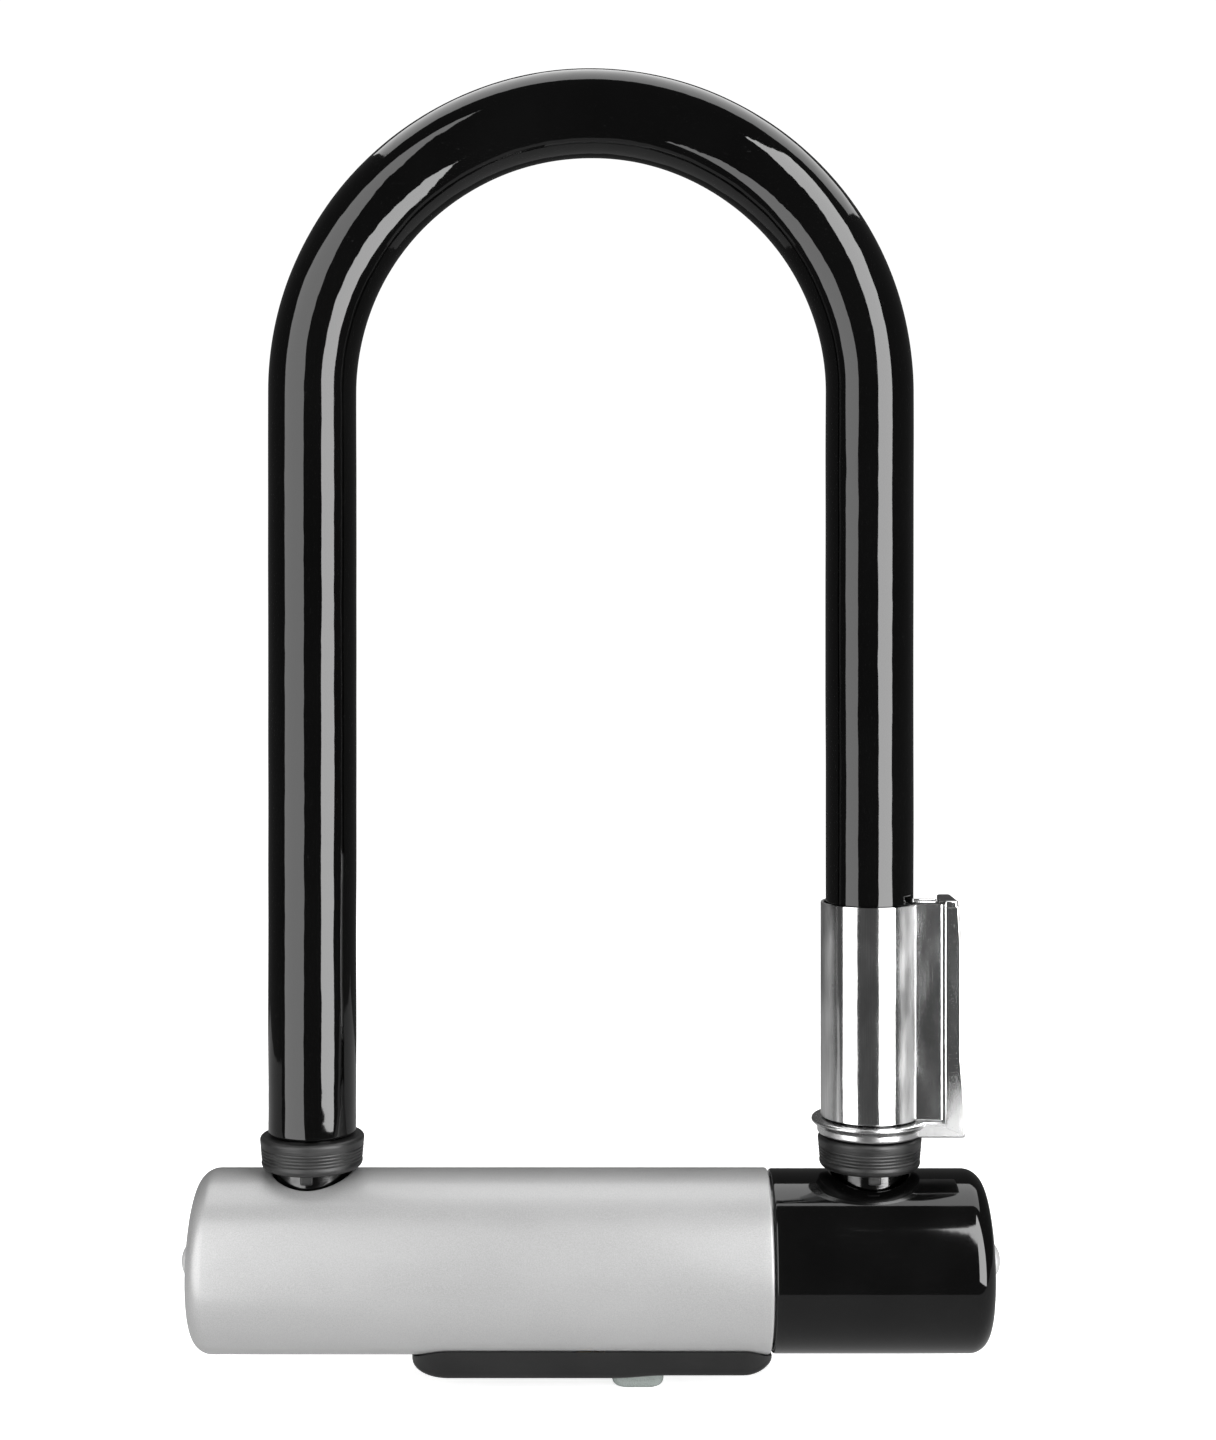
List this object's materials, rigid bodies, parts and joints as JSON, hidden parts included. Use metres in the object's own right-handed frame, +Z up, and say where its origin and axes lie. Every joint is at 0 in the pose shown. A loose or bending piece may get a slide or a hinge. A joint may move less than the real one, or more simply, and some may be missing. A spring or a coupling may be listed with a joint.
{
  "type": "u lock",
  "caption": "Bicycle U lock: a coated steel shackle seats in a round crossbar with coupled deadbolts, a sliding dust cover over the keyway and a frame bracket on one leg.",
  "frame": {"origin": "centre of the footprint, at the lowest point of the dust cover's thumb tab, midway between the legs", "axes": "+Z up along the shackle's legs, +X along the crossbar towards the leg with the bracket, -Y to the front"},
  "size_m": [0.1438, 0.0316, 0.2308],
  "materials": {
    "bare_steel": "ground bright steel",
    "hardened_tube": "dark hardened steel",
    "dark_fastener": "dark oxide steel screws and spring ring",
    "lock_brass": "machined brass, satin",
    "black_coating": "glossy black vinyl sleeve, slightly wavy",
    "collar_rubber": "dark satin rubber with fine turned rings",
    "silver_shell": "satin silver paint with fine metallic speckle",
    "black_shell": "high gloss black",
    "polished_sleeve": "polished bright metal, lightly drawn along the leg",
    "bracket_metal": "die cast metal, tumbled and blotchy",
    "dust_cover_plastic": "dark grey satin plastic",
    "thumb_tab_plastic": "pale grey, slightly translucent"
  },
  "bodies": {
    "crossbar": {"crossbar_tube": "hardened_tube", "silver_sleeve": "silver_shell", "black_end_sleeve": "black_shell", "left_end_plug": "hardened_tube", "right_end_plug": "hardened_tube", "left_plug_pin": "bare_steel", "right_plug_pin": "bare_steel", "left_end_rivet": "bare_steel", "right_end_rivet": "bare_steel", "left_bolt_guide": "lock_brass", "right_bolt_guide": "lock_brass", "cylinder_housing": "lock_brass", "cylinder_retaining_pin": "bare_steel", "cylinder_circlip": "dark_fastener", "dust_cover_base": "dust_cover_plastic", "dust_cover_screw": "dark_fastener"},
    "shackle": {"shackle_bar": "bare_steel", "shackle_coating": "black_coating", "left_collar": "collar_rubber", "right_collar": "collar_rubber", "bracket_sleeve": "polished_sleeve", "bracket_carrier": "bracket_metal", "bracket_screw_lower": "dark_fastener", "bracket_screw_upper": "dark_fastener"},
    "plug": {"plug_carrier": "lock_brass", "anti_drill_disc": "bare_steel", "tumbler_disc_1": "bare_steel", "tumbler_disc_2": "bare_steel", "tumbler_disc_3": "bare_steel", "tumbler_disc_4": "bare_steel", "sidebar": "bare_steel", "cam_disc": "bare_steel"},
    "left_bolt": {"left_deadbolt": "bare_steel", "left_bolt_pin": "hardened_tube"},
    "right_bolt": {"right_deadbolt": "bare_steel", "right_bolt_pin": "hardened_tube"},
    "dust_cover": {"dust_cover_slider": "dust_cover_plastic", "thumb_tab": "thumb_tab_plastic"}
  },
  "joints": [
    {"name": "shackle_lift", "type": "slide", "parent": "crossbar", "child": "shackle", "axis": [0, 0, 1], "range_m": [0, 0.04]},
    {"name": "plug_turn", "type": "hinge", "parent": "crossbar", "child": "plug", "pos_m": [0, 0, 0.0215], "axis": [0, 0, 1], "range_deg": [0, 90]},
    {"name": "left_bolt_slide", "type": "slide", "parent": "crossbar", "child": "left_bolt", "axis": [-1, 0, 0], "range_m": [0, 0.0045]},
    {"name": "right_bolt_slide", "type": "slide", "parent": "crossbar", "child": "right_bolt", "axis": [1, 0, 0], "range_m": [0, 0.0045]},
    {"name": "dust_cover_slide", "type": "slide", "parent": "crossbar", "child": "dust_cover", "axis": [1, 0, 0], "range_m": [0, 0.013]}
  ],
  "couplings": [
    {"joint": "left_bolt_slide", "follows": "plug_turn", "m_per_rad": 0.0028647},
    {"joint": "right_bolt_slide", "follows": "plug_turn", "m_per_rad": 0.0028647}
  ]
}
